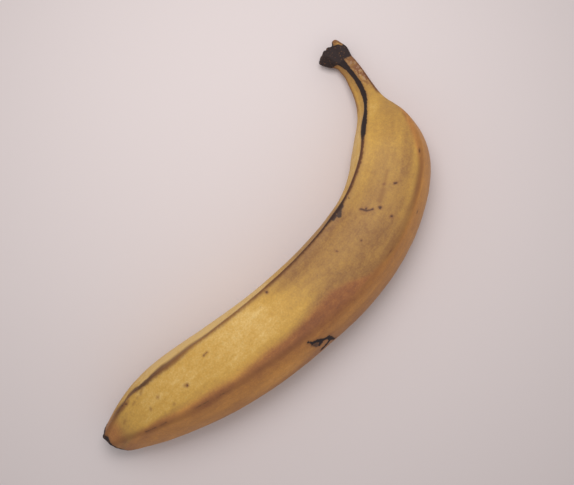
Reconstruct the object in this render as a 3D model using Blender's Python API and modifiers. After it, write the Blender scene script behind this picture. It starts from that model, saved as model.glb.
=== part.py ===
"""One over-ripe banana, lying on its side.

A single solid: the five-sided peel, the blunt blossom end, the neck, the ribbed stem and the
torn crown. The curve lies flat on the table, with the hollow side towards +Y and the stem
towards +X. The origin is on the table, under the middle of the fruit's box.
"""

import math
from collections import namedtuple

import bmesh
import bpy
import numpy as np
from mathutils import Vector

MM = 0.001

# Driving sizes, in millimetres and degrees. Each station is one cross-section of the fruit,
# from the blossom end to the crown: where its middle lies in plan, half its width, how high
# its underside clears the table, and where the two upper ridges are. An angle is 0 towards
# the bulging side, 90 straight up and 180 towards the hollow side.
Station = namedtuple("Station", "x y half_width clearance ridge_a ridge_b")
STATIONS = (
    Station(-95.5, 29.5, 6.6, 1.0, 120, 86),
    Station(-89.0, 27.3, 9.2, 0.8, 122, 80),
    Station(-77.0, 22.5, 13.9, -0.5, 127, 70),
    Station(-63.5, 15.7, 16.4, 0.5, 129, 64),
    Station(-42.5, 4.0, 17.9, 0.8, 136, 65),
    Station(-12.5, -8.8, 18.1, 0.6, 142, 60),
    Station(19.5, -17.7, 18.2, 0.1, 143, 55),
    Station(50.0, -17.4, 16.8, 0.8, 143, 52),
    Station(64.5, -10.7, 16.3, 1.5, 134, 49),
    Station(73.5, -1.4, 11.6, 4.0, 126, 42),
    Station(78.5, 5.3, 6.1, 5.5, 114, 30),
    Station(83.5, 12.5, 4.2, 5.0, 108, 22),
    Station(87.5, 18.5, 3.9, 3.0, 114, 20),
    Station(90.5, 26.0, 4.3, 1.0, 118, 18),
    Station(91.0, 31.5, 5.6, -0.3, 120, 18),
)
HEIGHT_SHARE = 0.95  # a section's height against its width
UNDER_GAPS = (0.225, 0.24, 0.262, 0.273)  # how the lower three ridges share the underside

# The cage
TIP_RINGS = (0.0, 3.0, 9.0, 17.0, 26.0)  # distances along the fruit, in millimetres
BODY_RINGS = np.linspace(38.0, 162.0, 9)
NECK_RINGS = (172.0, 179.0, 185.0, 191.0, 198.0, 206.0, 212.0, 217.0)
BODY_FACET = 0.45  # 0 leaves a face as round as the ridges' circle, 1 makes it flat
STEM_FACET = 1.0
STEM_FROM, STEM_TO = 178.0, 198.0
RIDGE_CREASES = (0.55, 0.3, 0.35, 0.35, 0.45)
LEVELS = 2

# The blossom end: a low scar inside a worn rim
TIP_SLANT = 2.0  # how far the rim's bulging side is cut back
TIP_RIM_CREASE = 0.6
TIP_CAP = ((0.62, 0.7), (0.0, 1.1))  # share of the rim's radius, and how far it stands out

# The torn crown. For each of the ten points of its rim, from the first ridge round over the
# bulging side: how far it stands out as a share of the stem, and how far it reaches on.
CROWN_SPREAD = (1.0, 1.05, 1.0, 1.1, 1.0, 1.1, 1.05, 1.15, 1.15, 1.15)
CROWN_REACH = (0.5, 0.8, 2.2, 0.6, -0.6, -0.4, 0.2, 1.5, 3.2, 1.6)
CROWN_CAP = ((0.62, 2.6), (0.0, 3.2))
CROWN_RIM_CREASE = 0.35

FLOOR_CUT = Vector((240.0, 120.0, 20.0))  # the block that trims the three resting spots

PEEL_COLOUR = (0.52, 0.31, 0.10)
PEEL_ROUGHNESS = 0.5


def clear_scene():
    for thing in list(bpy.data.objects):
        bpy.data.objects.remove(thing, do_unlink=True)


def new_collection(name):
    collection = bpy.data.collections.new(name)
    bpy.context.scene.collection.children.link(collection)
    return collection


def curve_through(knots, values, at):
    """A smooth cubic through the values at the knots, read at the distances in `at`."""
    slopes = np.gradient(values, knots)
    left = np.clip(np.searchsorted(knots, at, side="right") - 1, 0, len(knots) - 2)
    span = knots[left + 1] - knots[left]
    t = (at - knots[left]) / span
    start = (2 * t**3 - 3 * t**2 + 1) * values[left]
    end = (3 * t**2 - 2 * t**3) * values[left + 1]
    leave = (t**3 - 2 * t**2 + t) * span * slopes[left]
    arrive = (t**3 - t**2) * span * slopes[left + 1]
    return start + end + leave + arrive


def rings_along():
    """Each ring of the cage as a station read from the smooth curve through STATIONS."""
    columns = np.array(STATIONS, float)
    steps = np.hypot(np.diff(columns[:, 0]), np.diff(columns[:, 1]))
    knots = np.concatenate(([0.0], np.cumsum(steps)))
    at = np.concatenate((TIP_RINGS, BODY_RINGS, NECK_RINGS, knots[-1:]))
    read = [curve_through(knots, column, at) for column in columns.T]
    return at, [Station(*row) for row in np.array(read).T]


def drawn_in(points):
    """Where subdivision leaves a ring's points, and the middles between them. The creased
    ridges, every other point, are drawn in less."""
    before, after = np.roll(points, 1, axis=0), np.roll(points, -1, axis=0)
    corners = (before + 4 * points + after) / 6
    corners[::2] += np.array(RIDGE_CREASES)[:, None] * (points - corners)[::2]
    middles = (before + 23 * points + 23 * after + np.roll(points, -2, axis=0)) / 48
    return np.concatenate((corners, middles))


def section(ridge_a, ridge_b, facet):
    """The ten points of one unit cross-section, ridges and face middles in turn, so that the
    outline they leave when subdivided fits a box from -1 to 1."""
    under = 360.0 - (ridge_a - ridge_b)
    ridges = [ridge_a, ridge_b]
    for share in UNDER_GAPS:
        ridges.append(ridges[-1] - share * under)
    points = []
    for this, following in zip(ridges, ridges[1:]):
        half_gap = math.radians(this - following) / 2
        middle = math.radians((this + following) / 2)
        reach = 1 - facet * (1 - math.cos(half_gap))
        points.append((math.cos(math.radians(this)), math.sin(math.radians(this))))
        points.append((reach * math.cos(middle), reach * math.sin(middle)))
    points = np.array(points)
    outline = drawn_in(points)
    low, high = outline.min(axis=0), outline.max(axis=0)
    return (2 * points - low - high) / (high - low)


def facet_at(distance):
    """The body's faces bulge, and the stem's are flat between its ribs."""
    share = np.clip((distance - STEM_FROM) / (STEM_TO - STEM_FROM), 0, 1)
    return BODY_FACET + (STEM_FACET - BODY_FACET) * share


def ring_points(at, rings):
    """Every ring as an array of ten points, and the direction the fruit runs in there."""
    middles = []
    for ring in rings:
        middles.append((ring.x, ring.y, ring.clearance + HEIGHT_SHARE * ring.half_width))
    middles = np.array(middles)
    along = np.gradient(middles, at, axis=0)
    along /= np.linalg.norm(along, axis=1, keepdims=True)
    points = []
    for distance, ring, middle, forward in zip(at, rings, middles, along):
        side = np.cross(forward, (0, 0, 1))
        side /= np.linalg.norm(side)
        up = np.cross(side, forward)
        unit = section(ring.ridge_a, ring.ridge_b, facet_at(distance))
        across = np.outer(unit[:, 0] * ring.half_width, side)
        upward = np.outer(unit[:, 1] * ring.half_width * HEIGHT_SHARE, up)
        points.append(middle + across + upward)
    return np.array(points), along


def cut_tip_back(points, along):
    """The blossom end is cut at a slant, further back on the bulging side."""
    middle = points[0].mean(axis=0)
    side = np.cross(along[0], (0, 0, 1))
    share = (points[0] - middle) @ side / np.abs((points[0] - middle) @ side).max()
    points[0] += np.outer((1 + share) / 2 * TIP_SLANT, along[0])


def tear_crown(points, along):
    """The crown's rim: lobes of torn peel, one of them drawn out to a point."""
    middle = points[-1].mean(axis=0)
    spread = np.array(CROWN_SPREAD)[:, None]
    points[-1] = middle + (points[-1] - middle) * spread
    points[-1] += np.outer(CROWN_REACH, along[-1])


def cap_points(rim, outward, steps):
    """The rings of an end cap, and last its middle point."""
    middle = rim.mean(axis=0)
    rings = []
    for share, stand_out in steps[:-1]:
        rings.append(middle + (rim - middle) * share + outward * stand_out)
    return rings, middle + outward * steps[-1][1]


def loft(mesh, loops):
    """Quads between each loop of vertices and the next."""
    for first, second in zip(loops, loops[1:]):
        for i in range(len(first)):
            j = (i + 1) % len(first)
            mesh.faces.new((first[i], first[j], second[j], second[i]))


def close(mesh, loop, centre):
    for i in range(len(loop)):
        mesh.faces.new((loop[(i + 1) % len(loop)], loop[i], centre))


def crease_edges(mesh, tip_rim, crown_rim, columns):
    """Soft creases keep the ridges and the two rims from melting away."""
    crease = mesh.edges.layers.float.new("crease_edge")
    for rim, strength in ((tip_rim, TIP_RIM_CREASE), (crown_rim, CROWN_RIM_CREASE)):
        for i in range(len(rim)):
            mesh.edges.get((rim[i], rim[(i + 1) % len(rim)]))[crease] = strength
    for ridge, strength in zip(columns[::2], RIDGE_CREASES):
        for start, end in zip(ridge, ridge[1:]):
            mesh.edges.get((start, end))[crease] = strength


def banana_cage():
    """The whole fruit as a coarse cage, ready to be subdivided."""
    at, rings = rings_along()
    points, along = ring_points(at, rings)
    cut_tip_back(points, along)
    tear_crown(points, along)
    tip_rings, tip_point = cap_points(points[0], -along[0], TIP_CAP)
    crown_rings, crown_point = cap_points(points[-1], along[-1], CROWN_CAP)
    mesh = bmesh.new()
    loops = []
    for ring in [*tip_rings[::-1], *points, *crown_rings]:
        loops.append([mesh.verts.new(point * MM) for point in ring])
    loft(mesh, loops)
    close(mesh, loops[0], mesh.verts.new(tip_point * MM))
    close(mesh, loops[-1][::-1], mesh.verts.new(crown_point * MM))
    first, last = len(tip_rings), len(loops) - 1 - len(crown_rings)
    columns = list(zip(*loops[first : last + 1]))
    crease_edges(mesh, loops[first], loops[last], columns)
    bmesh.ops.recalc_face_normals(mesh, faces=mesh.faces)
    data = bpy.data.meshes.new("banana")
    mesh.to_mesh(data)
    mesh.free()
    data.shade_smooth()
    return data


def peel_material():
    material = bpy.data.materials.new("ripe_peel")
    material.use_nodes = True
    shader = material.node_tree.nodes["Principled BSDF"]
    shader.inputs["Base Color"].default_value = (*PEEL_COLOUR, 1.0)
    shader.inputs["Roughness"].default_value = PEEL_ROUGHNESS
    shader.inputs["Metallic"].default_value = 0.0
    return material


def table_cutter(collection):
    """A block with its top at the table, which leaves the small flat spots underneath."""
    mesh = bmesh.new()
    bmesh.ops.create_cube(mesh, size=1.0)
    bmesh.ops.scale(mesh, vec=FLOOR_CUT * MM, verts=mesh.verts)
    data = bpy.data.meshes.new("table_cutter")
    mesh.to_mesh(data)
    mesh.free()
    cutter = bpy.data.objects.new("table_cutter", data)
    cutter.location.z = -FLOOR_CUT.z * MM / 2
    cutter.hide_render = True
    cutter.display_type = "WIRE"
    collection.objects.link(cutter)
    return cutter


def banana(collection, cutters):
    fruit = bpy.data.objects.new("banana", banana_cage())
    fruit.data.materials.append(peel_material())
    collection.objects.link(fruit)
    smooth = fruit.modifiers.new("Smooth", "SUBSURF")
    smooth.levels = LEVELS
    smooth.render_levels = LEVELS
    flats = fruit.modifiers.new("Resting spots", "BOOLEAN")
    flats.operation = "DIFFERENCE"
    flats.solver = "EXACT"
    flats.object = table_cutter(cutters)
    return fruit


def main():
    clear_scene()
    banana(new_collection("Banana"), new_collection("Cutters"))


main()
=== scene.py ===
# %% [markdown]
# # One ripe, bruised banana
#
# A banana is a berry that grew in one piece: five soft ridges run from the dry scar of the
# flower, over the curved body and the neck, into a ribbed stem that was torn off its hand.
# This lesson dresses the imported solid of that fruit. The solid could be shown as it is, but
# its facets would show in the sheen and along the outline, so it is replaced here by a finer
# mesh that is grown from the same cross-sections and stays in the same place.

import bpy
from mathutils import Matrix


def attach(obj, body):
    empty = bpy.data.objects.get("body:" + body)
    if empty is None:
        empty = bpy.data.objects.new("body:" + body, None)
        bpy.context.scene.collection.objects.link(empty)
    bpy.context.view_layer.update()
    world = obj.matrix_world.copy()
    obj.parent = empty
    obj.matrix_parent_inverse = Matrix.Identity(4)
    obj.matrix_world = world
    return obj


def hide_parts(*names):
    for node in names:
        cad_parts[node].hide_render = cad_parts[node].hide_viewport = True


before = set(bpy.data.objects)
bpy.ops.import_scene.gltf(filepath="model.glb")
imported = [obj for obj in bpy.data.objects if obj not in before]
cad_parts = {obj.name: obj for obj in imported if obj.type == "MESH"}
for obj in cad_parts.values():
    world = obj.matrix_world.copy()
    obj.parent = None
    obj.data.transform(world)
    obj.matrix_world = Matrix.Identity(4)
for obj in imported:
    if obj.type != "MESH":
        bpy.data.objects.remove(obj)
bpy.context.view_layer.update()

# %% What the lesson uses
import math
from collections import namedtuple

import bmesh
import bpy
import numpy as np
from mathutils import Vector, noise

MM = 0.001

# %% [markdown]
# ## The camera
#
# The fruit was seen from straight above, with the stem at the upper right. The camera could be
# turned to the fruit's own axes, but then the light would have to turn too, so it keeps the
# picture's upright instead: the chord of the curve runs 60 degrees from the picture's
# horizontal. At about 36 cm the perspective is gentle, as with a phone held over a table.

# %% Camera
CAMERA_HEIGHT = 376.0  # mm above the table
CAMERA_OVER = (12.4, 8.4)  # mm, the spot that it looks down on
CAMERA_TURN = -60.0  # degrees
VIEW_WIDTH = 235.3  # mm of the fruit's middle plane that the picture takes in
MIDDLE_PLANE = 17.0  # mm above the table
SENSOR = 36.0  # mm wide
NEAR_CLIP = 0.01  # m

camera_data = bpy.data.cameras.new("camera")
camera_data.sensor_width = SENSOR
camera_data.lens = SENSOR * (CAMERA_HEIGHT - MIDDLE_PLANE) / VIEW_WIDTH
camera_data.clip_start = NEAR_CLIP
camera = bpy.data.objects.new("camera", camera_data)
camera.location = Vector((*CAMERA_OVER, CAMERA_HEIGHT)) * MM
camera.rotation_euler = (0.0, 0.0, math.radians(CAMERA_TURN))
bpy.context.scene.collection.objects.link(camera)
bpy.context.scene.camera = camera
print("lens:", round(camera_data.lens, 1), "mm")

# %% [markdown]
# ## The cross-sections
#
# A body like this could be sculpted, or swept along a curve with one profile, but a sweep
# can't change the number of degrees between the ridges, which is what makes a banana look
# grown. So it is a loft: fifteen measured cross-sections along the curve, each with its width,
# its height over the table, and where its two upper ridges lie. A smooth curve through them
# gives the rings of a coarse cage, and subdivision does the rest.

# %% Stations from the blossom end to the crown
# A ridge's angle is in degrees from the bulging side upwards, and the rest is in millimetres.
Station = namedtuple("Station", "x y half_width clearance ridge_a ridge_b")
STATIONS = (
    Station(-95.5, 29.5, 6.6, 1.0, 120, 86),
    Station(-89.0, 27.3, 9.2, 0.8, 122, 80),
    Station(-77.0, 22.5, 13.9, -0.5, 127, 70),
    Station(-63.5, 15.7, 16.4, 0.5, 129, 64),
    Station(-42.5, 4.0, 17.9, 0.8, 136, 65),
    Station(-12.5, -8.8, 18.1, 0.6, 142, 60),
    Station(19.5, -17.7, 18.2, 0.1, 143, 55),
    Station(50.0, -17.4, 16.8, 0.8, 143, 52),
    Station(64.5, -10.7, 16.3, 1.5, 134, 49),
    Station(73.5, -1.4, 11.6, 4.0, 126, 42),
    Station(78.5, 5.3, 6.1, 5.5, 114, 30),
    Station(83.5, 12.5, 4.2, 5.0, 108, 22),
    Station(87.5, 18.5, 3.9, 3.0, 114, 20),
    Station(90.5, 26.0, 4.3, 1.0, 118, 18),
    Station(91.0, 31.5, 5.6, -0.3, 120, 18),
)
HEIGHT_SHARE = 0.95  # a section's height as a share of its width
UNDER_GAPS = (0.225, 0.24, 0.262, 0.273)  # the gaps round the underside, as shares of their sum
print("stations:", len(STATIONS))

# %% Rings of the cage
TIP_RINGS = (0.0, 3.0, 9.0, 17.0, 26.0)  # mm from the blossom end, as the next two are
BODY_RINGS = np.linspace(38.0, 162.0, 9)
NECK_RINGS = (172.0, 179.0, 185.0, 191.0, 198.0, 206.0, 212.0, 217.0)


def curve_through(knots, values, at):
    """A smooth cubic through the values at the knots, read at the distances in `at`."""
    slopes = np.gradient(values, knots)
    left = np.clip(np.searchsorted(knots, at, side="right") - 1, 0, len(knots) - 2)
    span = knots[left + 1] - knots[left]
    t = (at - knots[left]) / span
    start = (2 * t**3 - 3 * t**2 + 1) * values[left]
    end = (3 * t**2 - 2 * t**3) * values[left + 1]
    leave = (t**3 - 2 * t**2 + t) * span * slopes[left]
    arrive = (t**3 - t**2) * span * slopes[left + 1]
    return start + end + leave + arrive


def rings_along():
    """Each ring of the cage as a station read from the smooth curve through STATIONS."""
    columns = np.array(STATIONS, float)
    steps = np.hypot(np.diff(columns[:, 0]), np.diff(columns[:, 1]))
    knots = np.concatenate(([0.0], np.cumsum(steps)))
    at = np.concatenate((TIP_RINGS, BODY_RINGS, NECK_RINGS, knots[-1:]))
    read = [curve_through(knots, column, at) for column in columns.T]
    return at, [Station(*row) for row in np.array(read).T]


RING_AT, RINGS = rings_along()
LENGTH = RING_AT[-1]
print("rings:", len(RINGS), "over", round(LENGTH, 1), "mm")

# %% [markdown]
# ## One section
#
# Five ridges and the five bulging faces between them make ten points. Subdivision draws a cage
# in, and most where it is not creased, so each section is first drawn in on paper, and the
# result is stretched until it fills the width and height that were measured.

# %% Sections and rings
BODY_FACET, STEM_FACET = 0.45, 1.0  # 0 is as round as the ridges' circle, 1 is flat
STEM_FROM, STEM_TO = 178.0, 198.0  # mm along, where the faces turn flat
RIDGE_CREASES = (0.55, 0.3, 0.35, 0.35, 0.45)  # 0 is rounded and 1 is sharp


def drawn_in(points):
    """Where subdivision leaves a ring's points, and the middles between them, as a cubic spline."""
    before, after = np.roll(points, 1, axis=0), np.roll(points, -1, axis=0)
    corners = (before + 4 * points + after) / 6
    corners[::2] += np.array(RIDGE_CREASES)[:, None] * (points - corners)[::2]
    middles = (before + 23 * points + 23 * after + np.roll(points, -2, axis=0)) / 48
    return np.concatenate((corners, middles))


def section(ridge_a, ridge_b, facet):
    """Ridges and face middles in turn, with their drawn-in outline in a box from -1 to 1."""
    under = 360.0 - (ridge_a - ridge_b)
    ridges = [ridge_a, ridge_b]
    for share in UNDER_GAPS:
        ridges.append(ridges[-1] - share * under)
    points = []
    for this, following in zip(ridges, ridges[1:]):
        half_gap = math.radians(this - following) / 2
        middle = math.radians((this + following) / 2)
        reach = 1 - facet * (1 - math.cos(half_gap))
        points.append((math.cos(math.radians(this)), math.sin(math.radians(this))))
        points.append((reach * math.cos(middle), reach * math.sin(middle)))
    points = np.array(points)
    outline = drawn_in(points)
    low, high = outline.min(axis=0), outline.max(axis=0)
    return (2 * points - low - high) / (high - low)


def ring_points():
    """Every ring as ten points, and the direction that the fruit runs in there."""
    middles = []
    for ring in RINGS:
        middles.append((ring.x, ring.y, ring.clearance + HEIGHT_SHARE * ring.half_width))
    middles = np.array(middles)
    along = np.gradient(middles, RING_AT, axis=0)
    along /= np.linalg.norm(along, axis=1, keepdims=True)
    points = []
    for distance, ring, middle, forward in zip(RING_AT, RINGS, middles, along):
        side = np.cross(forward, (0, 0, 1))
        side /= np.linalg.norm(side)
        up = np.cross(side, forward)
        share = np.clip((distance - STEM_FROM) / (STEM_TO - STEM_FROM), 0, 1)
        facet = BODY_FACET + (STEM_FACET - BODY_FACET) * share
        unit = section(ring.ridge_a, ring.ridge_b, facet)
        across = np.outer(unit[:, 0] * ring.half_width, side)
        upward = np.outer(unit[:, 1] * ring.half_width * HEIGHT_SHARE, up)
        points.append(middle + across + upward)
    return np.array(points), along


POINTS, ALONG = ring_points()
print("widest section:", round(2 * max(ring.half_width for ring in RINGS), 1), "mm")

# %% [markdown]
# ## The two ends
#
# The blossom end is a low scar, cut at a slant by wear. The crown was torn from the hand, so
# its rim is uneven, with one strip of peel drawn out to a point. A cut by another solid would
# leave an edge that no fruit has, so the last ring of the cage is moved instead. The smaller
# tears of the crown come later, after the relief.

# %% Slant the blossom end and tear the crown
TIP_SLANT = 2.0  # mm
TIP_RIM_CREASE = 0.6
TIP_CAP = (0.62, 0.7, 1.1)  # an inner ring's share of the rim, mm proud there and in the middle
CROWN_SPREAD = (1.0, 1.05, 1.0, 1.1, 1.0, 1.1, 1.05, 1.15, 1.15, 1.15)  # times as wide
CROWN_REACH = (1.4, -0.2, 1.0, 0.4, -0.6, -0.4, 0.2, 1.5, 3.2, 2.2)  # mm longer
CROWN_CAP = (0.62, 1.9, 2.3)
CROWN_RIM_CREASE = 0.35

tip_middle = POINTS[0].mean(axis=0)
tip_side = (POINTS[0] - tip_middle) @ np.cross(ALONG[0], (0, 0, 1))
POINTS[0] += np.outer((1 + tip_side / np.abs(tip_side).max()) / 2 * TIP_SLANT, ALONG[0])

crown_middle = POINTS[-1].mean(axis=0)
POINTS[-1] = crown_middle + (POINTS[-1] - crown_middle) * np.array(CROWN_SPREAD)[:, None]
POINTS[-1] += np.outer(CROWN_REACH, ALONG[-1])


def cap_points(rim, outward, cap):
    """The ring inside an end's rim, and the end's middle point."""
    share, ring_proud, middle_proud = cap
    middle = rim.mean(axis=0)
    inner = middle + (rim - middle) * share + outward * ring_proud
    return inner, middle + outward * middle_proud


TIP_INNER, TIP_POINT = cap_points(POINTS[0], -ALONG[0], TIP_CAP)
CROWN_INNER, CROWN_POINT = cap_points(POINTS[-1], ALONG[-1], CROWN_CAP)
LOOPS = np.array([TIP_INNER, *POINTS, CROWN_INNER])
print("loops of the cage:", len(LOOPS))

# %% [markdown]
# ## A map of the peel
#
# Marks sit on a real peel by how far they are from the blossom end and how far round from a
# ridge. Painting on an unwrapped picture would need an image, so the cage gets two coordinate
# layers instead, and every later mark is placed in millimetres on them. "peel" holds the
# distance round from the first ridge, plus towards the bulging side, and the distance from the
# blossom end. "ridge" holds the distance from the nearest ridge, and that ridge's number.

# %% Distances round and along
COLUMNS = 10
UNDER_SEAM = 5  # the column under the fruit where plus meets minus


def round_from_first(points):
    """How far each of a ring's columns is from the first ridge, in millimetres round."""
    outline = drawn_in(points)
    corners, middles = outline[:COLUMNS], outline[COLUMNS:]
    first_half = np.linalg.norm(middles - corners, axis=1)
    second_half = np.linalg.norm(np.roll(corners, -1, axis=0) - middles, axis=1)
    return np.concatenate(([0.0], np.cumsum(first_half + second_half)))


TIP_RADIUS, CROWN_RADIUS = 6.4, 5.6
round_at = [round_from_first(points) for points in POINTS]
ROUND = np.array([round_at[0], *round_at, round_at[-1]])
DOWN = np.concatenate((
    [-(1 - TIP_CAP[0]) * TIP_RADIUS],
    RING_AT,
    [LENGTH + (1 - CROWN_CAP[0]) * CROWN_RADIUS],
))
print("round the middle:", round(ROUND[len(ROUND) // 2, -1], 1), "mm")

# %% The cage's points and layers
cage = bmesh.new()
peel_layer = cage.loops.layers.uv.new("peel")
ridge_layer = cage.loops.layers.uv.new("ridge")
crease_layer = cage.edges.layers.float.new("crease_edge")
verts = [[cage.verts.new(point * MM) for point in loop] for loop in LOOPS]
tip_vert = cage.verts.new(TIP_POINT * MM)
crown_vert = cage.verts.new(CROWN_POINT * MM)
print("cage points:", len(cage.verts))


# %% The cage's faces, with both distances
def map_face(face, corners):
    """Writes both coordinate layers. corners holds (vertex, loop row, column, distance along)."""
    columns = [column for _, _, column, _ in corners]
    ridge = next(column for column in columns if column % 2 == 0)
    for vert, row, column, distance in corners:
        loop = next(loop for loop in face.loops if loop.vert == vert)
        whole = ROUND[row, -1]
        left, right = math.floor(column), math.ceil(column)
        here = (ROUND[row, left] + ROUND[row, right]) / 2
        far_side = max(columns) > UNDER_SEAM
        loop[peel_layer].uv = ((here - whole if far_side else here) * MM, distance * MM)
        loop[ridge_layer].uv = ((here - ROUND[row, ridge]) * MM, ridge // 2 % 5)


for row in range(len(LOOPS) - 1):
    for column in range(COLUMNS):
        following = (column + 1) % COLUMNS
        a, b = verts[row][column], verts[row][following]
        c, d = verts[row + 1][following], verts[row + 1][column]
        face = cage.faces.new((a, b, c, d))
        map_face(face, (
            (a, row, column, DOWN[row]),
            (b, row, column + 1, DOWN[row]),
            (c, row + 1, column + 1, DOWN[row + 1]),
            (d, row + 1, column, DOWN[row + 1]),
        ))

ENDS = (
    (0, tip_vert, -TIP_RADIUS),
    (len(LOOPS) - 1, crown_vert, LENGTH + CROWN_RADIUS),
)
for row, pole, beyond in ENDS:
    for column in range(COLUMNS):
        a, b = verts[row][column], verts[row][(column + 1) % COLUMNS]
        face = cage.faces.new((b, a, pole) if row == 0 else (a, b, pole))
        map_face(face, (
            (a, row, column, DOWN[row]),
            (b, row, column + 1, DOWN[row]),
            (pole, row, column + 0.5, beyond),
        ))
print("cage faces:", len(cage.faces))

# %% Creases on the rims and the ridges
for row, strength in ((1, TIP_RIM_CREASE), (len(LOOPS) - 2, CROWN_RIM_CREASE)):
    for column in range(COLUMNS):
        rim_edge = cage.edges.get((verts[row][column], verts[row][(column + 1) % COLUMNS]))
        rim_edge[crease_layer] = strength
for ridge, strength in enumerate(RIDGE_CREASES):
    for row in range(1, len(LOOPS) - 2):
        cage.edges.get((verts[row][2 * ridge], verts[row + 1][2 * ridge]))[crease_layer] = strength
print("creased edges:", sum(edge[crease_layer] > 0 for edge in cage.edges))

bmesh.ops.recalc_face_normals(cage, faces=cage.faces)
cage_mesh = bpy.data.meshes.new("banana_cage")
cage.to_mesh(cage_mesh)
cage.free()

# %% [markdown]
# ## Subdividing
#
# The modifier could stay on the object, but the relief and the marks are worked out point by
# point, so its result is taken as a mesh of its own. Four levels give faces of about half a
# millimetre, which is fine enough for the wrinkles of the stem.

# %% Subdivide the cage
FINE_LEVELS = 4

cage_object = bpy.data.objects.new("banana_cage", cage_mesh)
bpy.context.scene.collection.objects.link(cage_object)
smooth = cage_object.modifiers.new("Smooth", "SUBSURF")
smooth.levels = FINE_LEVELS
smooth.render_levels = FINE_LEVELS
smooth.uv_smooth = "NONE"
bpy.context.view_layer.update()
evaluated = cage_object.evaluated_get(bpy.context.evaluated_depsgraph_get())
fine = bpy.data.meshes.new_from_object(evaluated)
fine.name = "banana"
bpy.data.objects.remove(cage_object)
bpy.data.meshes.remove(cage_mesh)
print("fine faces:", len(fine.polygons))


# %% Read the fine mesh
def read(collection, name, width):
    """A mesh's numbers as rows, one for each element, with `width` numbers in a row."""
    values = np.zeros(len(collection) * width, np.float32)
    collection.foreach_get(name, values)
    return values.reshape(-1, width).astype(float)


corner_vertex = read(fine.loops, "vertex_index", 1)[:, 0].astype(int)
place = read(fine.vertices, "co", 3) / MM
outward = read(fine.vertices, "normal", 3)
peel_at = np.zeros((len(place), 2))
ridge_at = np.zeros((len(place), 2))
peel_at[corner_vertex] = read(fine.uv_layers["peel"].data, "uv", 2)
ridge_at[corner_vertex] = read(fine.uv_layers["ridge"].data, "uv", 2)
ROUND_MM, ALONG_MM = peel_at.T / MM
RIDGE_MM, RIDGE_NUMBER = np.abs(ridge_at[:, 0]) / MM, np.round(ridge_at[:, 1])
print("round from", ROUND_MM.min().round(1), "to", ROUND_MM.max().round(1), "mm")

# %% [markdown]
# ## Relief
#
# Sculpting would give the unevenness of a real peel, but it can't be read or changed later.
# A noise of the right size in millimetres can, so every part of the relief is a line or two
# here: a slow swell of the whole peel, crests along the ridges with a shallow trough on each
# side of the first, hollow faces and wrinkles on the stem, lumps of torn tissue on the crown,
# and a pit in the blossom scar. All of it is added up first and then pushed out along the
# surface's normals.


# %% Noise and soft steps
def lumps(size, stretch=1.0, seed=0.0):
    """Noise from about -1 to 1 at every point, with lumps `size` mm across.

    With a stretch, the lumps lie along the fruit and are that many times as long.
    """
    shift = Vector((seed, 0.7 * seed, -1.3 * seed))
    if stretch == 1.0:
        return np.array([noise.noise(Vector(point) / size + shift) for point in place])
    wrapped = 2 * math.pi * ROUND_MM / ROUND[len(ROUND) // 2, -1]
    girth = ROUND[len(ROUND) // 2, -1] / (2 * math.pi)
    on_tube = np.stack((girth * np.cos(wrapped), girth * np.sin(wrapped), ALONG_MM / stretch), axis=1)
    return np.array([noise.noise(Vector(point) / size + shift) for point in on_tube])


def crest(gap, width):
    """1 on a line and falling away to nothing within about twice the width."""
    return np.exp(-((gap / width) ** 2))


def step(values, low, high):
    """0 below low, 1 above high and a smooth rise between."""
    share = np.clip((values - low) / (high - low), 0, 1)
    return share * share * (3 - 2 * share)


OVAL_FADE = (0.4, 1.4)  # where an oval starts and ends to fade, as shares of its half sizes


def oval(along, across, half_along, half_across):
    """1 inside an oval on the peel, fading to 0 outside it. Sizes in mm."""
    gap = np.hypot((ALONG_MM - along) / half_along, (ROUND_MM - across) / half_across)
    return 1 - step(gap, *OVAL_FADE)


# %% Swell, crests and troughs
STEM_STARTS, CROWN_STARTS, TIP_ENDS = (190, 202), (212, 218), (0, 6)  # mm along
on_stem = step(ALONG_MM, *STEM_STARTS)
on_crown = step(ALONG_MM, *CROWN_STARTS)
on_tip = 1 - step(ALONG_MM, *TIP_ENDS)
on_body = (1 - on_stem) * (1 - on_tip)

SWELL_HEIGHT, WAVE_HEIGHT = 0.16, 0.07  # mm, as all heights and depths here
CREST_HEIGHTS = np.array((0.34, 0.16, 0.2, 0.2, 0.26))
CREST_WIDTHS = np.array((1.1, 2.2, 1.6, 1.6, 1.5))
TROUGH_BESIDE, TROUGH_WIDTH, TROUGH_DEPTH = 3.2, 1.6, 0.10
number = RIDGE_NUMBER.astype(int)
relief = SWELL_HEIGHT * lumps(size=15) + WAVE_HEIGHT * lumps(size=5, seed=3) * (1 - on_stem)
relief += CREST_HEIGHTS[number] * crest(RIDGE_MM, CREST_WIDTHS[number]) * (1 - on_stem)
relief -= TROUGH_DEPTH * crest(RIDGE_MM - TROUGH_BESIDE, TROUGH_WIDTH) * (number == 0) * on_body
print("swell and crests from", relief.min().round(2), "to", relief.max().round(2), "mm")

# %% Ribs, hollow faces and wrinkles of the stem and the neck
RIB_HEIGHT, RIB_WIDTH = 0.22, 0.8
HOLLOW_BESIDE, HOLLOW_WIDTH, HOLLOW_DEPTH = 2.6, 1.2, 0.30
STEM_WRINKLES, NECK_WRINKLES = 0.16, 0.10
NECK_STARTS = (176, 196)
rib = RIB_HEIGHT * crest(RIDGE_MM, RIB_WIDTH)
hollow = HOLLOW_DEPTH * crest(RIDGE_MM - HOLLOW_BESIDE, HOLLOW_WIDTH)
relief += on_stem * (rib - hollow)
relief += on_stem * STEM_WRINKLES * lumps(size=1.5, stretch=6, seed=5)
on_neck = step(ALONG_MM, *NECK_STARTS) * (1 - on_stem)
relief += on_neck * NECK_WRINKLES * lumps(size=2.2, stretch=7, seed=7)
print("points on the stem:", int((on_stem > 0).sum()))

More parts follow.
